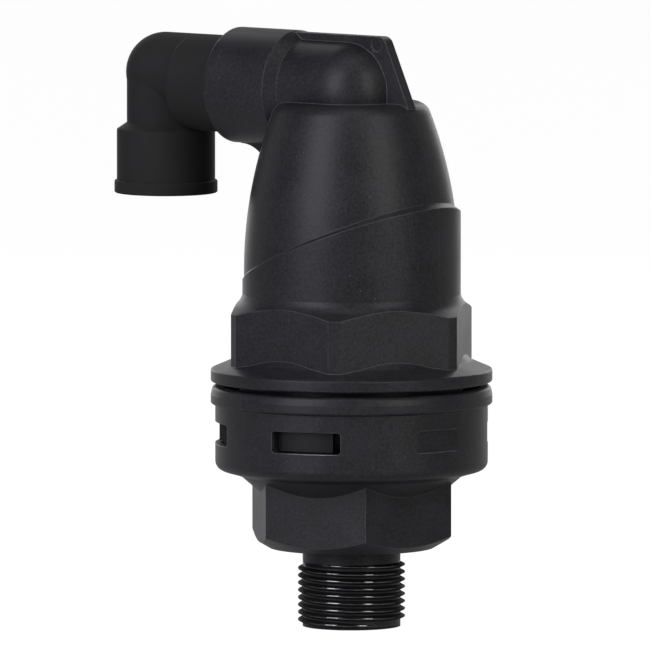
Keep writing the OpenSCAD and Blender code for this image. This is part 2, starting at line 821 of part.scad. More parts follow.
module float() {
    color(foam)
        rotate_extrude()
            rounded([[stem_d / 2 + pin_gap, z_float, 0], [float_d / 2, z_float, float_edge],
                [float_d / 2, z_float_top - float_shoulder, float_edge],
                [float_top_d / 2, z_float_top, float_edge],
                [stem_d / 2 + pin_gap, z_float_top, 0]]);
}

module float_stem() {
    z_fork = z_link - eye_d / 2 - fork_gap;
    fork_y = ear_y + ear_t;
    color(white_plastic)
        difference() {
            union() {
                translate([0, 0, z_float_top - stem_bite])
                    cylinder(d = stem_d, h = z_fork - z_float_top + stem_bite);
                translate([0, 0, z_float_top]) cylinder(d = stem_flange_d, h = stem_flange_h);
                translate([-eye_d / 2, -fork_y, z_fork - ear_t]) cube([eye_d, 2 * fork_y, ear_t]);
                for (side = [-1, 1])
                    translate([0, side * (ear_y + ear_t / 2), 0])
                        upright_plate(ear_t)
                            rounded([[-eye_d / 2, z_fork - ear_t, 0], [eye_d / 2, z_fork - ear_t, 0],
                                [eye_d / 2, z_link + eye_d / 2, eye_d / 2 - eps],
                                [-eye_d / 2, z_link + eye_d / 2, eye_d / 2 - eps]]);
            }
            pin_y(0, z_link, link_d + pin_gap, pin_half);
        }
}

module link_pin() {
    color(steel) pin_y(0, z_link, link_d, pin_half);
}

module link_pin_clips() {
    color(steel) clip_pair(0, z_link, link_d);
}

module seal_lever() {
    arm = pivot_x / cos(droop);
    slot_d = link_d + 2 * slide_gap;
    color(steel)
        on_lever()
            difference() {
                union() {
                    pin_y(0, 0, hub_d, lever_w / 2);
                    translate([0, -lever_w / 2, -lever_t / 2]) cube([arm, lever_w, lever_t]);
                    pin_y(arm - slot_l, 0, eye_d, lever_w / 2);
                    pin_y(arm, 0, eye_d, lever_w / 2);
                    translate([arm - slot_l, -lever_w / 2, -eye_d / 2 + eps])
                        cube([slot_l, lever_w, eye_d - 2 * eps]);
                }
                pin_y(0, 0, bush_d + pin_gap, lever_w);
                pin_y(arm - slot_l + slide_gap / 2, 0, slot_d, lever_w);
                pin_y(arm, 0, slot_d, lever_w);
                translate([arm - slot_l + slide_gap / 2, -lever_w, -slot_d / 2 + eps])
                    cube([slot_l - slide_gap / 2, 2 * lever_w, slot_d - 2 * eps]);
                translate([nozzle_arm, 0, lever_t / 2 - button_seat])
                    cylinder(d = button_d + pin_gap, h = lever_t);
                translate([nozzle_arm, 0, -lever_t]) cylinder(d = button_d / 2 + pin_gap, h = 2 * lever_t);
            }
}

module lever_bush() {
    color(white_plastic)
        on_lever()
            rotate([90, 0, 0])
                translate([0, 0, -lever_w / 2])
                    tube(pivot_d + 2 * pin_gap, bush_d, 0, lever_w);
}

module seal_button() {
    color(rubber)
        on_lever()
            translate([nozzle_arm, 0, 0]) {
                translate([0, 0, lever_t / 2 - button_seat])
                    cylinder(d = button_d, h = button_h + button_seat);
                translate([0, 0, -lever_t / 2 - knob]) cylinder(d = button_d / 2, h = lever_t + knob);
                translate([0, 0, -lever_t / 2 - knob])
                    cylinder(d1 = button_d / 2, d2 = button_d / 2 + knob, h = knob);
            }
}

module elbow_outside() {
    along_outlet() {
        translate([0, 0, plug_end]) cylinder(d = plug_d, h = plug_l + over);
        rotate_extrude()
            rounded([[0, plug_shoulder, 0], [leg_collar_d / 2, plug_shoulder, edge_r],
                [leg_collar_d / 2, leg_collar_x, collar_edge], [0, leg_collar_x, 0]]);
    }
    translate([-leg_x, 0, z_bend])
        rotate([0, 90, 0])
            rotate_extrude() {
                intersection() {
                    circle(d = leg_d);
                    translate([0, -leg_d / 2]) square(leg_d);
                }
                square([leg_d / 2, leg_x - plug_shoulder - over]);
            }
    translate([-leg_x, 0, 0])
        rotate_extrude()
            rounded([[0, z_tail, 0], [bead_d / 2, z_tail, edge_r], [bead_d / 2, z_tail + bead_h, edge_r],
                [tail_d / 2, z_tail + bead_h, 0], [tail_d / 2, z_tail + tail_h, edge_r],
                [leg_d / 2 - leg_inset, z_tail + tail_h + tail_cone_h, 0],
                [leg_d / 2 - leg_inset, z_bend, 0],
                [0, z_bend, 0]]);
}

module drain_elbow() {
    color(elbow_grey)
        difference() {
            elbow_outside();
            along_outlet() {
                translate([0, 0, plug_end - over]) cylinder(d = leg_bore_d, h = leg_x - plug_end + over);
                tube(plug_d - 2 * small_ring - 2 * ring_gap, plug_d + over, seal_ring_x - groove_w / 2,
                    seal_ring_x + groove_w / 2);
                tube(plug_d - 2 * clip_bite - 2 * pin_gap, plug_d + over, clip_x - clip_w / 2 - pin_gap,
                    clip_x + clip_w / 2 + pin_gap);
            }
            translate([-leg_x, 0, z_tail - over]) cylinder(d = drain_d, h = drain_l + over);
            translate([-leg_x, 0, z_tail + over])
                cylinder(d = leg_bore_d - 2 * leg_inset, h = leg_drop - over);
            translate([-leg_x, 0, z_outlet]) sphere(d = mitre_d);
        }
}

module elbow_o_ring() {
    color(rubber) along_outlet() seal_ring(plug_d - small_ring - ring_gap, small_ring, seal_ring_x);
}

module elbow_retaining_ring() {
    inner = plug_d - 2 * clip_bite;
    outer = socket_bore_d + 2 * clip_bite - 2 * pin_gap;
    color(white_plastic)
        along_outlet()
            sector(inner / 2, outer / 2, clip_x - clip_w / 2, clip_x + clip_w / 2, half_turn,
                2 * half_turn - clip_slit);
}

inlet_base();
inlet_strainer();
float_rest();
valve_body();
body_o_ring();
lever_frame();
frame_o_ring();
frame_screws();
orifice_nozzle();
nozzle_o_ring();
pivot_pin();
pivot_pin_clips();
float();
float_stem();
link_pin();
link_pin_clips();
seal_lever();
lever_bush();
seal_button();
drain_elbow();
elbow_o_ring();
elbow_retaining_ring();
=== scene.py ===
import math

import bpy
from bpy.props import FloatProperty, FloatVectorProperty, IntProperty, PointerProperty
from mathutils import Matrix, Vector


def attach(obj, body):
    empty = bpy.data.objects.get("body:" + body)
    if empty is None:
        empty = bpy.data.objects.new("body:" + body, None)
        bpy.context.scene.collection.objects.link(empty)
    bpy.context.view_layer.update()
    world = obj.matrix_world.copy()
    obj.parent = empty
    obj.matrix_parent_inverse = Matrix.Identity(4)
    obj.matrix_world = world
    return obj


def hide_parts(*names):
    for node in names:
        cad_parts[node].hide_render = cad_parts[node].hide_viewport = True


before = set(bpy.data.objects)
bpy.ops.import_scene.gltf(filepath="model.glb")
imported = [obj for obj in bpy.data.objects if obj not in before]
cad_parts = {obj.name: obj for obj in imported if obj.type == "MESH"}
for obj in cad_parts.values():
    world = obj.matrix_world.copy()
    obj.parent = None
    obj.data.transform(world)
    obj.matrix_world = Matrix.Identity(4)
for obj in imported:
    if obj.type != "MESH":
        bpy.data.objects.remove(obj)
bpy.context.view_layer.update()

bl_info = {
    "name": "Air release valve",
    "version": (1, 0, 0),
    "blender": (4, 5, 0),
    "location": "View3D > Sidebar > Valve",
    "description": "Finishes, threads and studio for a moulded air release valve",
    "category": "Object",
}

MM = 0.001
UP = Vector((0, 0, 1))
WHITE = (1, 1, 1)

# CAD nodes that keep their own mesh and only get a finish
SEALS = ("body_o_ring", "frame_o_ring", "nozzle_o_ring", "seal_button", "elbow_o_ring")
STEEL = (
    "frame_screws",
    "orifice_nozzle",
    "pivot_pin",
    "pivot_pin_clips",
    "link_pin",
    "link_pin_clips",
    "seal_lever",
)
ACETAL = (
    "inlet_strainer",
    "float_rest",
    "lever_frame",
    "float_stem",
    "lever_bush",
    "elbow_retaining_ring",
)

# Points of a CAD mesh closer than this are one point
WELD = 0.001 * MM
# How near a point lies to the drum's corner or to the drain's wall to belong to it
CORNER_NEAR = 0.02 * MM
DRAIN_NEAR = 0.1 * MM

# Half the width of a parting line's crest
SEAM_CREST = 0.03 * MM
# Distances from the middle of the painted highlight on a sill at which the highlight starts to fade and ends
HIGHLIGHT_FADES = 2.5 * MM
HIGHLIGHT_ENDS = 7.5 * MM

# Section of a pipe thread, in shares of its pitch
THREAD_FOOT = 0.96
THREAD_CREST = 0.185
THREAD_ROUNDING = 0.1373
# How deep a thread's ridge is set into the wall that it stands on
THREAD_BITE = 0.1 * MM
# Shares of a thread's length where it has risen from the wall and where it starts to sink back
THREAD_RISEN = 0.03
THREAD_SINKS = 0.94
# How far past its length the inlet thread runs, in shares of its pitch
INLET_OVERRUN = 0.1

# Softboxes: name, turn from the camera and lift in degrees, width and height, share of the brightness, colour
SOFTBOXES = (
    ("softbox_left", -42, 25, (0.42, 0.85), 1, (1, 0.975, 1.07)),
    ("softbox_right", 41, 25, (0.26, 0.85), 1, (1, 0.99, 0.93)),
    ("softbox_top", 0, 78, (0.6, 0.4), 0.26, WHITE),
    ("rear_left", -158, 18, (0.3, 0.85), 0.36, WHITE),
    ("rear_right", 158, 18, (0.3, 0.85), 0.36, WHITE),
)


# Sizes and colours


def colour_property(name, description, default):
    return FloatVectorProperty(
        name=name, description=description, subtype="COLOR", size=3, min=0, max=1, default=default
    )


def length_property(name, description, millimetres):
    return FloatProperty(
        name=name,
        description=description,
        subtype="DISTANCE",
        unit="LENGTH",
        min=0,
        default=millimetres * MM,
    )


def angle_property(name, description, degrees):
    return FloatProperty(
        name=name,
        description=description,
        subtype="ANGLE",
        unit="ROTATION",
        default=math.radians(degrees),
    )


class ValveThreads(bpy.types.PropertyGroup):
    """Sizes of the inlet and drain threads"""

    inlet_pitch: length_property("Inlet pitch", "Rise of the inlet thread in one turn", 1.814)
    inlet_crest: length_property("Inlet crest radius", "Outer radius of the inlet thread", 13.22)
    inlet_root: length_property("Inlet root radius", "Radius between the turns of the inlet thread", 12.06)
    inlet_length: length_property("Inlet length", "Length of the inlet thread", 15)
    inlet_taper: length_property("Inlet taper", "Length above the thread that narrows to the neck", 1.3)
    drain_pitch: length_property("Drain pitch", "Rise of the drain thread in one turn", 1.337)
    drain_core: length_property("Drain core radius", "Radius at the tips of the drain thread", 7.48)
    drain_root: length_property("Drain root radius", "Radius between the turns of the drain thread", 8.3)
    drain_length: length_property("Drain length", "Depth of the drain thread", 12)
    drain_reach: length_property("Drain reach", "Distance of the drain thread from the valve's axis", 58.1)
    drain_level: length_property("Drain level", "Height of the drain thread's mouth", 104.2)
    turn_points: IntProperty(
        name="Points a turn", description="Points along one turn of a thread", min=16, default=72
    )


class ValveDrum(bpy.types.PropertyGroup):
    """Sizes of the drum's lower corner"""

    radius: length_property("Radius", "Outer radius of the drum", 33.6)
    bottom: length_property("Bottom", "Height at which the solid's corner starts", 39.2)
    solid_corner: length_property("Solid corner", "Radius of the corner in the solid", 4)
    corner: length_property("Corner", "Radius of the corner as it is seen", 2.4)
    drop: length_property("Drop", "How far the underside lies below the solid's corner", 1.15)
    slope: FloatProperty(
        name="Slope",
        description="Rise of the underside for its width",
        subtype="FACTOR",
        min=0,
        max=1,
        default=0.27,
    )


class ValveFinishes(bpy.types.PropertyGroup):
    """Colours and surface sizes of the valve's materials"""

    nylon: colour_property("Nylon", "Black glass-filled nylon of the base and body", (0.012, 0.0115, 0.014))
    # Colour of the shade painted on the body's nylon below the drum's mouth
    painted_shade_colour: colour_property("Shelter", "The body's nylon inside the base", (0.001, 0.001, 0.001))
    elbow: colour_property("Elbow", "Dark grey plastic of the drain elbow", (0.0165, 0.0165, 0.0165))
    # Also the colour of the highlights painted along the moulded edges
    speck_and_edge_highlight: colour_property("Specks", "Pale dust and fibre ends in the nylon", (0.16, 0.16, 0.165))
    # Colour of the highlight painted on the windows' sills
    painted_sill_highlight: colour_property("Lips", "Polished sills of the windows", (0.5, 0.5, 0.52))
    rubber: colour_property("Rubber", "Black rubber of the seals", (0.014, 0.014, 0.014))
    acetal: colour_property("Acetal", "Natural white acetal of the inner mouldings", (0.72, 0.72, 0.69))
    foam: colour_property("Foam", "Foamed polypropylene of the float", (0.78, 0.74, 0.64))
    steel: colour_property("Steel", "Stainless steel of the linkage", (0.55, 0.56, 0.57))
    edge_radius: length_property("Edge radius", "Rounding of the moulded edges", 0.3)
    inner_edge_radius: length_property("Inner edge radius", "Rounding of the inner mouldings' edges", 0.2)
    grain_size: length_property("Grain size", "Size of the moulding's surface grain", 0.6)
    grain_depth: length_property("Grain depth", "Depth of the moulding's surface grain", 0.03)
    cloud_size: length_property("Cloud size", "Size of the faint clouds in the nylon", 11)
    scuff_patch: length_property("Scuff patch", "Size of the patches that are scuffed", 34)
    scuff_width: length_property("Scuff width", "Width of a scuff", 0.8)
    speck_spacing: length_property("Speck spacing", "Distance between the places for specks", 2.3)
    seam_width: length_property("Seam width", "Half the width of a parting line", 0.16)
    elbow_seam_width: length_property("Elbow seam width", "Half the width of the elbow's parting line", 0.14)
    body_seam: angle_property("Body seam", "Direction of the body's parting line", 0)
    base_seam: angle_property("Base seam", "Direction of the base's parting line", -104)
    # Shade is painted on the body below this height
    drum_mouth: length_property("Drum mouth", "Height below which the body stands in the base", 58.5)
    # Middle of the stretch of sill where the highlight is painted
    sill_highlight_centre: FloatVectorProperty(
        name="Polished sill",
        description="Middle of the polished stretch of a window's sill",
        subtype="XYZ_LENGTH",
        unit="LENGTH",
        default=(11.8 * MM, -31.5 * MM, 45.4 * MM),
    )


class ValveStudio(bpy.types.PropertyGroup):
    """Camera and lights"""

    azimuth: angle_property("Azimuth", "Camera's turn round the valve", 37.7)
    elevation: angle_property("Elevation", "Camera's height above the horizon", 5.2)
    distance: length_property("Distance", "Camera's distance", 4500)
    view_width: length_property("View width", "Width of the picture at the valve", 160.05)
    aim_height: length_property("Aim height", "Height that the camera looks at", 74.35)
    aim_left: length_property("Aim left", "How far left of the valve's axis the camera looks", 6.54)
    softbox: FloatProperty(name="Softboxes", description="Brightness of the softboxes", min=0, default=7.2)
    softbox_distance: length_property("Softbox distance", "Distance of the softboxes", 940)
    floor_reach: length_property("Floor reach", "Half the width of the floor", 6000)
    floor_drop: length_property("Floor drop", "Gap between the valve and the floor", 0.2)


def threads():
    return bpy.context.scene.valve_threads


def drum():
    return bpy.context.scene.valve_drum


def finishes():
    return bpy.context.scene.valve_finishes


def studio():
    return bpy.context.scene.valve_studio


# Nodes


class Value:
    """A node's socket that works in Python expressions."""

    def __init__(self, nodes, socket):
        self.nodes = nodes
        self.socket = socket

    def maths(self, operation, first, second):
        return self.nodes.node("Math", {"operation": operation}, {0: first, 1: second})

    def __add__(self, other):
        return self.maths("ADD", self, other)

    __radd__ = __add__

    def __sub__(self, other):
        return self.maths("SUBTRACT", self, other)

    def __rsub__(self, other):
        return self.maths("SUBTRACT", other, self)

    def __mul__(self, other):
        return self.maths("MULTIPLY", self, other)

    __rmul__ = __mul__

    def __abs__(self):
        return self.maths("ABSOLUTE", self, 0)

    def step(self, low, high):
        """Rises smoothly from 0 at low to 1 at high."""
        return self.nodes.node(
            "MapRange", {"interpolation_type": "SMOOTHSTEP"}, {0: self, 1: low, 2: high, 3: 0, 4: 1}
        )


class Nodes:
    """Adds nodes to a node tree."""

    def __init__(self, tree):
        self.tree = tree
        tree.nodes.clear()

    def node(self, kind, settings=None, inputs=None, out=0):
        """Adds a node, sets it and then fills or links its sockets."""
        whole = kind.startswith(("GeometryNode", "NodeGroup"))
        made = self.tree.nodes.new(kind if whole else "ShaderNode" + kind)
        for name, value in (settings or {}).items():
            setattr(made, name, value)
        for key, value in (inputs or {}).items():
            socket = made.inputs[key]
            if isinstance(value, Value):
                self.tree.links.new(value.socket, socket)
            elif socket.type == "RGBA" and len(value) == 3:
                socket.default_value = (*value, 1)
            else:
                socket.default_value = value
        return Value(self, made.outputs[out]) if len(made.outputs) else made


class Shader(Nodes):
    """Builds the node tree of a material or of the world."""

    def __init__(self, owner):
        owner.use_nodes = True
        super().__init__(owner.node_tree)

    def colour_mix(self, factor, first, second):
        return self.node("Mix", {"data_type": "RGBA"}, {0: factor, 6: first, 7: second}, out=2)

    def place(self):
        return self.node("TexCoord", out="Object")

    def height(self, vector):
        return self.node("SeparateXYZ", {}, {0: vector}, out="Z")

    def noise(self, place, size, detail=2, rough=0.5):
        inputs = {"Vector": place, "Scale": 1 / size, "Detail": detail, "Roughness": rough}
        return self.node("TexNoise", {}, inputs)

    def cells(self, place, size, out):
        return self.node("TexVoronoi", {"feature": "F1"}, {"Vector": place, "Scale": 1 / size}, out)

    def stretched(self, place, scale):
        return self.node("Mapping", {}, {"Vector": place, "Scale": scale})

    def vector_maths(self, operation, first, second):
        return self.node("VectorMath", {"operation": operation}, {0: first, 1: second}, out="Value")

    def seam(self, place, turn, width):
        """A line along a plane through the valve's axis."""
        normal = (-math.sin(turn), math.cos(turn), 0)
        return 1 - abs(self.vector_maths("DOT_PRODUCT", place, normal)).step(SEAM_CREST, width)

    def rounded(self, radius, samples=6):
        return self.node("Bevel", {"samples": samples}, {"Radius": radius})

    def bump(self, strength, distance, height, **normal):
        inputs = {"Strength": strength, "Distance": distance, "Height": height, **normal}
        return self.node("Bump", {}, inputs)

    def surface(self, **sockets):
        inputs = {name.replace("_", " "): value for name, value in sockets.items()}
        bsdf = self.node("BsdfPrincipled", {}, inputs)
        self.node("OutputMaterial", {}, {"Surface": bsdf})


# Finishes


def new_material(name):
    material = bpy.data.materials.new(name)
    return material, Shader(material)


def toned(colour, share):
    """A colour made darker or lighter."""
    return [channel * share for channel in colour]


def moulded_nylon(name, seam_turn, painted_shade_below=0, highlighted=(0, 0, -1)):
    """Black glass-filled nylon with fine grain, pale specks, faint scuffs and one parting line.

    Shade is painted on it below a given height, pale highlights are painted along its edges, and a brighter
    highlight is painted on the edges that face up near one point.
    """
    sizes = finishes()
    material, s = new_material(name)
    place = s.place()
    grain = s.noise(place, sizes.grain_size, 3, 0.6)
    cloud = s.noise(place, sizes.cloud_size, 3)
    patch = s.noise(place, sizes.scuff_patch, 2)
    dots = s.cells(place, sizes.speck_spacing, "Distance")
    choice = s.cells(place, sizes.speck_spacing, "Color")
    picked = s.node("SeparateColor", {}, {0: choice}).step(0.84, 0.87)
    specks = (1 - dots.step(0.035, 0.075)) * picked
    hairs = s.noise(s.stretched(place, (1, 1, 0.16)), sizes.scuff_width, 2, 0.7)
    scuffs = hairs.step(0.68, 0.74) * patch.step(0.5, 0.66)
    seam = s.seam(place, seam_turn, sizes.seam_width)

    rounded = s.rounded(sizes.edge_radius)
    plain = s.node("NewGeometry", out="Normal")
    # How much a point lies on a rounded edge; pale highlights are painted there
    edges = (1 - s.vector_maths("DOT_PRODUCT", rounded, plain)).step(0.01, 0.14)
    # A highlight painted on the edges that face up near the given point
    away = s.vector_maths("DISTANCE", place, highlighted)
    painted_sill_highlight = (1 - away.step(HIGHLIGHT_FADES, HIGHLIGHT_ENDS)) * s.height(rounded).step(0.12, 0.5) * edges

    tone = cloud * 0.3 + grain * 0.7
    shade = s.colour_mix(tone.step(0.3, 0.7), toned(sizes.nylon, 0.45), toned(sizes.nylon, 1.55))
    # Painted shade: darker nylon below the given height, where the body stands in the base
    inside = 1 - s.height(place).step(painted_shade_below - MM, painted_shade_below)
    shade = s.colour_mix(inside * 0.8, shade, sizes.painted_shade_colour)
    # Pale specks, scuffs and parting line, and highlights painted along the edges
    pale = specks * 0.5 + scuffs * 0.12 + seam * 0.04 + edges * 0.5
    relief = grain + seam * 0.8 - scuffs * 0.4
    s.surface(
        Base_Color=s.colour_mix(painted_sill_highlight * 0.8, s.colour_mix(pale, shade, sizes.speck_and_edge_highlight), sizes.painted_sill_highlight),
        Roughness=0.36 + cloud * 0.12 + grain * 0.06,
        Specular_IOR_Level=0.2,
        Normal=s.bump(0.6, sizes.grain_depth, relief, Normal=rounded),
    )
    return material


def glossy_thread(name):
    """The same nylon, black and wet-looking on the thread, with a gloss that fades at grazing angles."""
    sizes = finishes()
    material, s = new_material(name)
    place = s.place()
    lumps = s.noise(s.stretched(place, (1, 1, 1.6)), 1.7 * MM, 5, 0.65)
    smears = s.noise(s.stretched(place, (1, 1, 3)), 5 * MM, 2)
    grazing = s.node("LayerWeight", out="Facing").step(0.22, 0.5)
    s.surface(
        Base_Color=s.colour_mix(smears.step(0.3, 0.8), toned(sizes.nylon, 0.05), toned(sizes.nylon, 0.2)),
        Roughness=0.08 + smears * 0.12 + grazing * 0.6,
        Specular_IOR_Level=0.16,
        Coat_Weight=(1 - grazing) * (0.45 + lumps.step(0.4, 0.6) * 0.55),
        Coat_Roughness=0.05,
        Coat_IOR=2.1,
        Normal=s.bump(0.9, 0.25 * MM, lumps),
    )
    return material


def flat_elbow(name):
    """Smooth dark grey plastic with hardly any shine and a parting line in the bend's plane."""
    sizes = finishes()
    material, s = new_material(name)
    place = s.place()
    cloud = s.noise(place, 9 * MM, 3)
    grain = s.noise(place, 0.3 * MM, 2)
    seam = s.seam(place, 0, sizes.elbow_seam_width)
    rounded = s.rounded(sizes.edge_radius)
    s.surface(
        Base_Color=s.colour_mix(cloud.step(0.2, 0.8), toned(sizes.elbow, 0.94), toned(sizes.elbow, 1.06)),
        Roughness=0.66 + cloud * 0.1,
        Specular_IOR_Level=0.07,
        Normal=s.bump(0.3, 0.008 * MM, grain + seam * 2, Normal=rounded),
    )
    return material


def seal_rubber(name):
    """Black rubber with a pale bloom."""
    sizes = finishes()
    material, s = new_material(name)
    place = s.place()
    bloom = s.noise(place, 3 * MM, 3)
    grain = s.noise(place, 0.25 * MM, 2)
    s.surface(
        Base_Color=s.colour_mix(bloom.step(0.35, 0.8), sizes.rubber, toned(sizes.rubber, 2.2)),
        Roughness=0.5 + bloom * 0.2,
        Normal=s.bump(0.4, 0.01 * MM, grain),
    )
    return material


def brushed_stainless(name):
    """Stainless steel with fine strokes and a few smudges."""
    sizes = finishes()
    material, s = new_material(name)
    place = s.place()
    strokes = s.noise(s.stretched(place, (1, 14, 1)), 1.4 * MM, 3, 0.6)
    smudge = s.noise(place, 5 * MM, 2)
    s.surface(
        Base_Color=s.colour_mix(smudge.step(0.3, 0.8), sizes.steel, toned(sizes.steel, 0.86)),
        Metallic=1,
        Roughness=0.22 + strokes * 0.16,
        Normal=s.bump(0.25, 0.004 * MM, strokes),
    )
    return material


def white_acetal(name):
    """Natural white acetal, slightly cloudy."""
    sizes = finishes()
    material, s = new_material(name)
    place = s.place()
    cloud = s.noise(place, 6 * MM, 3)
    grain = s.noise(place, 0.35 * MM, 2)
    rounded = s.rounded(sizes.inner_edge_radius, 4)
    s.surface(
        Base_Color=s.colour_mix(cloud.step(0.3, 0.8), sizes.acetal, toned(sizes.acetal, 0.93)),
        Roughness=0.36 + cloud * 0.12,
        Normal=s.bump(0.3, 0.006 * MM, grain, Normal=rounded),
    )
    return material


def float_foam(name):
    """Foamed polypropylene with small cells."""
    sizes = finishes()
    material, s = new_material(name)
    place = s.place()
    cells = s.cells(place, 0.9 * MM, "Distance")
    cloud = s.noise(place, 8 * MM, 3)
    s.surface(
        Base_Color=s.colour_mix(cloud.step(0.25, 0.8), sizes.foam, toned(sizes.foam, 0.88)),
        Roughness=0.6 + cloud * 0.15,
        Normal=s.bump(0.5, 0.03 * MM, cells),
    )
    return material


# Meshes


def as_in_cad(point):
    """Leaves a point and the way it faces as they are."""
    return point.copy(), None


def fuller_corner(point):
    """Moves a point of the solid's lower drum corner to where the corner is seen, and turns its normal."""
    sizes = drum()
    across = math.hypot(point.x, point.y)
    inner = sizes.radius - sizes.solid_corner
    top = sizes.bottom + sizes.solid_corner
    off = math.hypot(across - inner, point.z - top) - sizes.solid_corner
    if abs(off) > CORNER_NEAR or point.z > top + CORNER_NEAR or across < inner - CORNER_NEAR:
        return as_in_cad(point)
    lean = tilt = math.atan(sizes.slope)
    centre = sizes.radius - sizes.corner
    touch = centre + sizes.corner * math.sin(tilt)
    level = sizes.bottom - sizes.drop + (min(across, touch) - inner) * sizes.slope
    if across > touch:
        lean = math.asin(min(1, (across - centre) / sizes.corner))
        level += sizes.corner * (math.cos(tilt) - math.cos(lean))
    outward = Vector((point.x / across, point.y / across, 0))
    return Vector((point.x, point.y, level)), outward * math.sin(lean) - UP * math.cos(lean)


def welded_copy(name, node, shape):
    """A copy of a CAD node's mesh with its faces joined.

    It keeps the smooth normals of the CAD faces, apart from the points that shape turns.
    """
    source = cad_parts[node].data
    points, turned, place, joined = [], [], {}, []
    for vertex in source.vertices:
        key = tuple(round(c / WELD) for c in vertex.co)
        if key not in place:
            place[key] = len(points)
            point, normal = shape(vertex.co)
            points.append(point)
            turned.append(normal)
        joined.append(place[key])
    faces, normals = [], []
    for polygon in source.polygons:
        corners = [joined[source.loops[i].vertex_index] for i in polygon.loop_indices]
        if len(set(corners)) == len(corners):
            faces.append(corners)
            for i, corner in zip(polygon.loop_indices, corners):
                normals.append(turned[corner] or source.corner_normals[i].vector.copy())
    mesh = bpy.data.meshes.new(name)
    mesh.from_pydata(points, [], faces)
    mesh.shade_smooth()
    mesh.normals_split_custom_set(normals)
    return mesh


def add_piece(name, mesh, body, material, replaced=()):
    """Puts a finished mesh on its body, in the place of the CAD nodes it stands for."""
    piece = bpy.data.objects.new(name, mesh)
    bpy.context.scene.collection.objects.link(piece)
    mesh.materials.clear()
    mesh.materials.append(material)
    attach(piece, body)
    if replaced:
        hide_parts(*replaced)


def moulding(name, node, body, material, shape=as_in_cad):
    """Makes a finished piece in the place of one CAD node."""
    add_piece(name, welded_copy(name, node, shape), body, material, (node,))


def paint(node, material):
    """Gives a CAD node its finish."""
    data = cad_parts[node].data
    data.materials.clear()
    data.materials.append(material)


# Threads


def thread_tree():
    """A ridge of trapezoid section that winds round the Z axis, thinning out at both ends."""
    tree = bpy.data.node_groups.new("thread_ridge", "GeometryNodeTree")
    numbers = ("Radius", "Height", "Foot", "Crest", "Length", "Turns", "Rounding", "Side")
    sockets = {name: "Float" for name in numbers}
    sockets = {"Geometry": "Geometry", **sockets, "Points": "Int", "Material": "Material"}
    for name, kind in sockets.items():
        tree.interface.new_socket(name, in_out="INPUT", socket_type="NodeSocket" + kind)
    tree.interface.new_socket("Geometry", in_out="OUTPUT", socket_type="NodeSocketGeometry")
    g = Nodes(tree)
    given = {socket.name: Value(g, socket) for socket in tree.nodes.new("NodeGroupInput").outputs}

    helix = g.node(
        "GeometryNodeCurveSpiral",
        {},
        {
            "Resolution": given["Points"],
            "Rotations": given["Turns"],
            "Start Radius": given["Radius"],
            "End Radius": given["Radius"],
            "Height": given["Length"],
        },
    )
    helix = g.node("GeometryNodeSetCurveNormal", {"mode": "Z_UP"}, {"Curve": helix})
    along = g.node("GeometryNodeSplineParameter")
    shown = along.step(0, THREAD_RISEN) * (1 - along.step(THREAD_SINKS, 1))
    sunk = (shown - 1) * given["Height"] * given["Side"]
    position = g.node("GeometryNodeInputPosition")
    outward = g.node("VectorMath", {"operation": "MULTIPLY"}, {0: position, 1: (1, 1, 0)})
    outward = g.node("VectorMath", {"operation": "NORMALIZE"}, {0: outward})
    shift = g.node("VectorMath", {"operation": "SCALE"}, {0: outward, "Scale": sunk})
    helix = g.node("GeometryNodeSetPosition", {}, {"Geometry": helix, "Offset": shift})

    section = g.node(
        "GeometryNodeCurvePrimitiveQuadrilateral",
        {"mode": "TRAPEZOID"},
        {
            "Height": given["Height"],
            "Bottom Width": given["Foot"],
            "Top Width": given["Crest"],
            "Offset": 0,
        },
    )
    quarter = g.node("CombineXYZ", {}, {"Z": given["Side"] * (math.pi / 2)})
    section = g.node("GeometryNodeTransform", {}, {"Geometry": section, "Rotation": quarter})
    section = g.node(
        "GeometryNodeFilletCurve",
        {"mode": "POLY"},
        {"Curve": section, "Count": 3, "Radius": given["Rounding"], "Limit Radius": True},
    )

    sweep = {"Curve": helix, "Profile Curve": section, "Fill Caps": True}
    ridge = g.node("GeometryNodeCurveToMesh", {}, sweep)
    ridge = g.node("GeometryNodeRealizeInstances", {}, {"Geometry": ridge})
    ridge = g.node("GeometryNodeSetMaterial", {}, {"Geometry": ridge, "Material": given["Material"]})
    g.node("NodeGroupOutput", {}, {0: ridge})
    return tree


def thread_mesh(name, **inputs):
    """Runs the thread's node tree and returns the plain mesh."""
    carrier = bpy.data.objects.new(name, bpy.data.meshes.new(name))
    bpy.context.scene.collection.objects.link(carrier)
    tree = bpy.data.node_groups.get("thread_ridge") or thread_tree()
    modifier = carrier.modifiers.new("thread_ridge", "NODES")
    modifier.node_group = tree
    for item in tree.interface.items_tree:
        if item.in_out == "INPUT" and item.name in inputs:
            modifier[item.identifier] = inputs[item.name]
    evaluated = carrier.evaluated_get(bpy.context.evaluated_depsgraph_get())
    mesh = bpy.data.meshes.new_from_object(evaluated)
    carrier.modifiers.remove(modifier)
    bpy.data.objects.remove(carrier)
    mesh.name = name
    return mesh


# Operators


class VALVE_OT_inlet_base(bpy.types.Operator):
    """Makes the base with its nipple at the thread's root, ready for the thread's turns"""

    bl_idname = "valve.inlet_base"
    bl_label = "Inlet base"

    def execute(self, context):
        sizes = threads()

        def shape(point):
            across = math.hypot(point.x, point.y)
            if point.z < sizes.inlet_length + sizes.inlet_taper and across > sizes.inlet_root:
                shrink = sizes.inlet_root / across
                return Vector((point.x * shrink, point.y * shrink, point.z)), None
            return fuller_corner(point)

        # A highlight is painted on one window's sill
        nylon = moulded_nylon("base_nylon", finishes().base_seam, highlighted=finishes().sill_highlight_centre)
        moulding("inlet_base_moulding", "inlet_base", "base", nylon, shape)
        return {"FINISHED"}


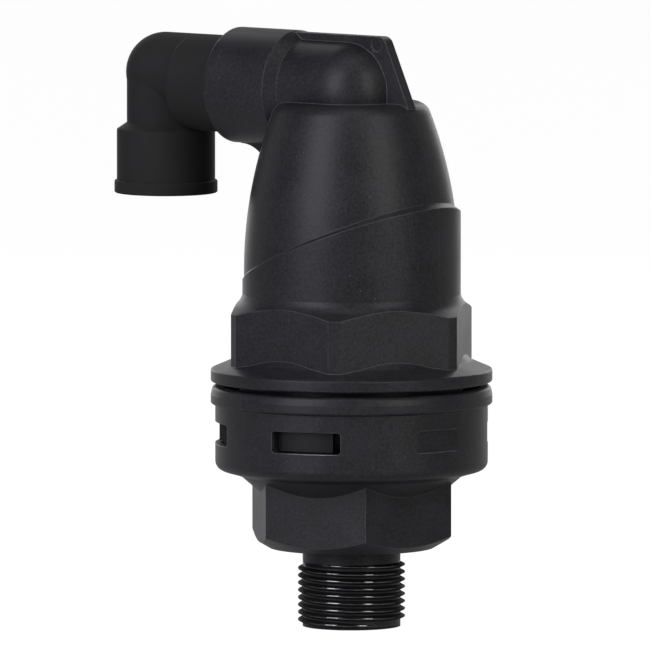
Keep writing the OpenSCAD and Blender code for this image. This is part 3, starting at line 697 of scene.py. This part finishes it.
class VALVE_OT_threads(bpy.types.Operator):
    """Winds the turns of the inlet thread and of the drain thread"""

    bl_idname = "valve.threads"
    bl_label = "Threads"

    def execute(self, context):
        sizes = threads()
        gloss = glossy_thread("thread_gloss")
        pitch = sizes.inlet_pitch
        length = sizes.inlet_length + pitch * INLET_OVERRUN
        mesh = self.turns("inlet_thread_turns", gloss, sizes.inlet_root, sizes.inlet_crest, pitch, length)
        add_piece("inlet_thread_turns", mesh, "base", gloss)
        plain = flat_elbow("drain_thread_plastic")
        pitch = sizes.drain_pitch
        length = sizes.drain_length - pitch
        mesh = self.turns("drain_thread_turns", plain, sizes.drain_root, sizes.drain_core, pitch, length)
        mesh.transform(Matrix.Translation((-sizes.drain_reach, 0, sizes.drain_level)))
        add_piece("drain_thread_turns", mesh, "elbow", plain)
        return {"FINISHED"}

    def turns(self, name, material, root, crest, pitch, length):
        """A thread's ridge from its root to its crest, outside or inside the wall it stands on."""
        depth = crest - root
        side = math.copysign(1, depth)
        mesh = thread_mesh(
            name,
            Radius=root + depth / 2 - THREAD_BITE * side,
            Height=abs(depth) + 2 * THREAD_BITE,
            Foot=pitch * THREAD_FOOT,
            Crest=pitch * THREAD_CREST,
            Length=length,
            Turns=length / pitch,
            Rounding=pitch * THREAD_ROUNDING,
            Side=side,
            Points=threads().turn_points,
            Material=material,
        )
        mesh.transform(Matrix.Translation((0, 0, pitch * THREAD_FOOT / 2)))
        return mesh


class VALVE_OT_valve_body(bpy.types.Operator):
    """Makes the body's moulding"""

    bl_idname = "valve.valve_body"
    bl_label = "Valve body"

    def execute(self, context):
        # Shade is painted on the body below the drum's mouth
        nylon = moulded_nylon("body_nylon", finishes().body_seam, painted_shade_below=finishes().drum_mouth)
        moulding("valve_body_moulding", "valve_body", "housing", nylon)
        return {"FINISHED"}


class VALVE_OT_drain_elbow(bpy.types.Operator):
    """Makes the swivelling elbow's moulding, its mouth opened to the thread's root"""

    bl_idname = "valve.drain_elbow"
    bl_label = "Drain elbow"

    def execute(self, context):
        sizes = threads()

        def shape(point):
            out, side = point.x + sizes.drain_reach, point.y
            across = math.hypot(out, side)
            in_mouth = point.z - sizes.drain_level < sizes.drain_length + DRAIN_NEAR
            if in_mouth and sizes.drain_core - DRAIN_NEAR < across < sizes.drain_root:
                grow = sizes.drain_root / across
                return Vector((out * grow - sizes.drain_reach, side * grow, point.z)), None
            return as_in_cad(point)

        plastic = flat_elbow("elbow_plastic")
        moulding("drain_elbow_moulding", "drain_elbow", "elbow", plastic, shape)
        return {"FINISHED"}


class VALVE_OT_inner_parts(bpy.types.Operator):
    """Finishes the seals, steel parts, inner mouldings and the float"""

    bl_idname = "valve.inner_parts"
    bl_label = "Inner parts"

    def execute(self, context):
        for names, material in (
            (SEALS, seal_rubber("seal_rubber")),
            (STEEL, brushed_stainless("stainless")),
            (ACETAL, white_acetal("inner_plastic")),
            (("float",), float_foam("float_foam")),
        ):
            for name in names:
                paint(name, material)
        return {"FINISHED"}


class VALVE_OT_stage(bpy.types.Operator):
    """Sets the floor, the world, the softboxes and the camera"""

    bl_idname = "valve.stage"
    bl_label = "Stage"

    def execute(self, context):
        context.scene.view_settings.view_transform = "Standard"
        setup = studio()
        right = Vector((math.cos(setup.azimuth), math.sin(setup.azimuth), 0))
        front = Vector((math.sin(setup.azimuth), -math.cos(setup.azimuth), 0))
        aim = UP * setup.aim_height - right * setup.aim_left
        self.floor(context)
        self.world(context, front)
        for name, side, lift, size, share, colour in SOFTBOXES:
            side, lift = math.radians(side), math.radians(lift)
            level = front * math.cos(side) + right * math.sin(side)
            away = (level * math.cos(lift) + UP * math.sin(lift)) * setup.softbox_distance
            self.softbox(context, name, aim, away, size, setup.softbox * share, colour)
        self.camera(context, aim, front * math.cos(setup.elevation) + UP * math.sin(setup.elevation))
        return {"FINISHED"}

    def seen(self, s):
        """Marks the rays in which the white background is seen, straight, mirrored or through glass."""
        rays = [s.node("LightPath", out="Is %s Ray" % kind) for kind in ("Camera", "Glossy", "Transmission")]
        mirrored = 0.3
        return rays[0].maths("MINIMUM", rays[0] + rays[1] * mirrored + rays[2], 1)

    def floor(self, context):
        """A pale floor that is white where it is seen and keeps the valve's shadow."""
        reach, level = studio().floor_reach, -studio().floor_drop
        corners = ((-reach, -reach), (reach, -reach), (reach, reach), (-reach, reach))
        mesh = bpy.data.meshes.new("floor")
        mesh.from_pydata([(x, y, level) for x, y in corners], [], [(0, 1, 2, 3)])
        floor = bpy.data.objects.new("floor", mesh)
        context.scene.collection.objects.link(floor)
        material, s = new_material("pale_floor")
        glow = s.node("Emission", {}, {"Color": WHITE, "Strength": 1.19})
        matt = s.node("BsdfDiffuse", {}, {"Color": toned(WHITE, 0.45)})
        glow_share = 0.82
        mixed = s.node("MixShader", {}, {0: self.seen(s) * glow_share, 1: matt, 2: glow})
        s.node("OutputMaterial", {}, {"Surface": mixed})
        mesh.materials.append(material)

    def world(self, context, front):
        """A dim room with a backdrop behind the valve, white to the camera."""
        world = bpy.data.worlds.new("studio")
        context.scene.world = world
        s = Shader(world)
        way = s.node("TexCoord", out="Generated")
        behind = s.vector_maths("DOT_PRODUCT", way, tuple(-front))
        backdrop = behind.step(-0.15, 0.45) * (1 - s.height(way).step(0.3, 0.62))
        camera = s.node("LightPath", out="Is Camera Ray")
        room_light, backdrop_light = 0.06, 0.25
        strength = camera + (1 - camera) * (room_light + backdrop * (backdrop_light + self.seen(s)))
        sky = s.node("Background", {}, {"Color": WHITE, "Strength": strength})
        s.node("OutputWorld", {}, {"Surface": sky})

    def softbox(self, context, name, aim, away, size, brightness, colour):
        """A lamp that faces the aim and is as bright whatever its size."""
        lamp = bpy.data.lights.new(name, "AREA")
        lamp.shape = "RECTANGLE"
        lamp.color = colour
        lamp.size, lamp.size_y = size
        lamp.energy = brightness * math.pi * size[0] * size[1]
        holder = bpy.data.objects.new(name, lamp)
        context.scene.collection.objects.link(holder)
        holder.location = aim + away
        holder.rotation_euler = away.to_track_quat("Z", "Y").to_euler()

    def camera(self, context, aim, back):
        """A long lens that looks at the aim."""
        setup = studio()
        lens = bpy.data.cameras.new("camera")
        lens.sensor_width = 36
        lens.lens = lens.sensor_width * setup.distance / setup.view_width
        lens.clip_start, lens.clip_end = 0.1, 30
        camera = bpy.data.objects.new("camera", lens)
        context.scene.collection.objects.link(camera)
        camera.location = aim + back * setup.distance
        camera.rotation_euler = back.to_track_quat("Z", "Y").to_euler()
        context.scene.camera = camera


STEPS = (
    VALVE_OT_inlet_base,
    VALVE_OT_threads,
    VALVE_OT_valve_body,
    VALVE_OT_drain_elbow,
    VALVE_OT_inner_parts,
    VALVE_OT_stage,
)


class VALVE_PT_panel(bpy.types.Panel):
    """Lists the valve's pieces and sizes"""

    bl_idname = "VALVE_PT_panel"
    bl_label = "Air release valve"
    bl_space_type = "VIEW_3D"
    bl_region_type = "UI"
    bl_category = "Valve"

    def draw(self, context):
        for step in STEPS:
            self.layout.operator(step.bl_idname)
        for group in (threads(), drum(), finishes(), studio()):
            box = self.layout.box()
            for name in group.__annotations__:
                box.prop(group, name)


CLASSES = (ValveThreads, ValveDrum, ValveFinishes, ValveStudio, *STEPS, VALVE_PT_panel)


def register():
    for made in CLASSES:
        bpy.utils.register_class(made)
    bpy.types.Scene.valve_threads = PointerProperty(type=ValveThreads)
    bpy.types.Scene.valve_drum = PointerProperty(type=ValveDrum)
    bpy.types.Scene.valve_finishes = PointerProperty(type=ValveFinishes)
    bpy.types.Scene.valve_studio = PointerProperty(type=ValveStudio)


def unregister():
    del bpy.types.Scene.valve_threads
    del bpy.types.Scene.valve_drum
    del bpy.types.Scene.valve_finishes
    del bpy.types.Scene.valve_studio
    for made in reversed(CLASSES):
        bpy.utils.unregister_class(made)


def main():
    register()
    bpy.ops.valve.inlet_base()
    bpy.ops.valve.threads()
    bpy.ops.valve.valve_body()
    bpy.ops.valve.drain_elbow()
    bpy.ops.valve.inner_parts()
    bpy.ops.valve.stage()


if __name__ == "__main__":
    main()
